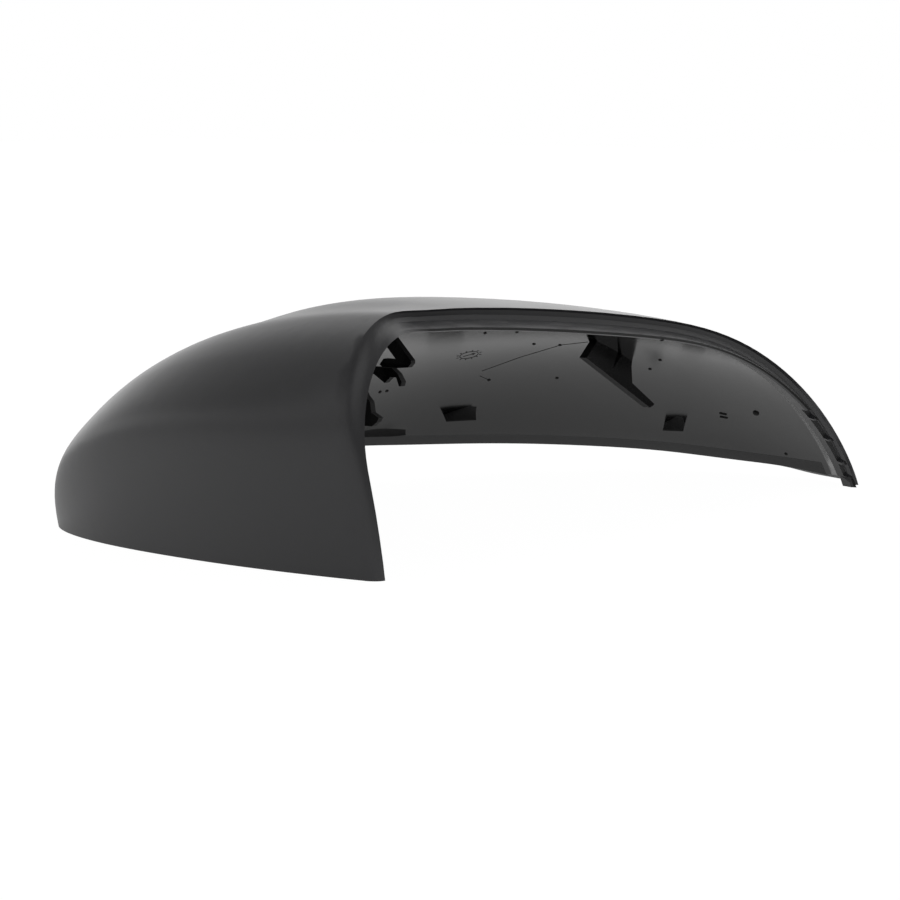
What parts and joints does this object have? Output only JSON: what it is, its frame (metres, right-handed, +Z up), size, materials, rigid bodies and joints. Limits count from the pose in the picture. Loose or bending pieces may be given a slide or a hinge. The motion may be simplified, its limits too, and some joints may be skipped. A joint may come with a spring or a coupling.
{
  "type": "wing mirror cover",
  "caption": "Domed one-piece plastic cap for the upper half of a car door mirror, open below and behind, with a stepped rear rim and moulded clips inside.",
  "frame": {"origin": "on the plane of the parting edge, under the middle of the cap's box", "axes": "+X inboard towards the car, +Y forward, +Z up; the open rear rim faces -Y and the open parting edge faces -Z"},
  "size_m": [0.2296, 0.1268, 0.0618],
  "materials": {
    "moulded_plastic": "fine-grained satin outside, polished inside"
  },
  "bodies": {
    "root": {"mirror_cover": "moulded_plastic"}
  },
  "joints": []
}
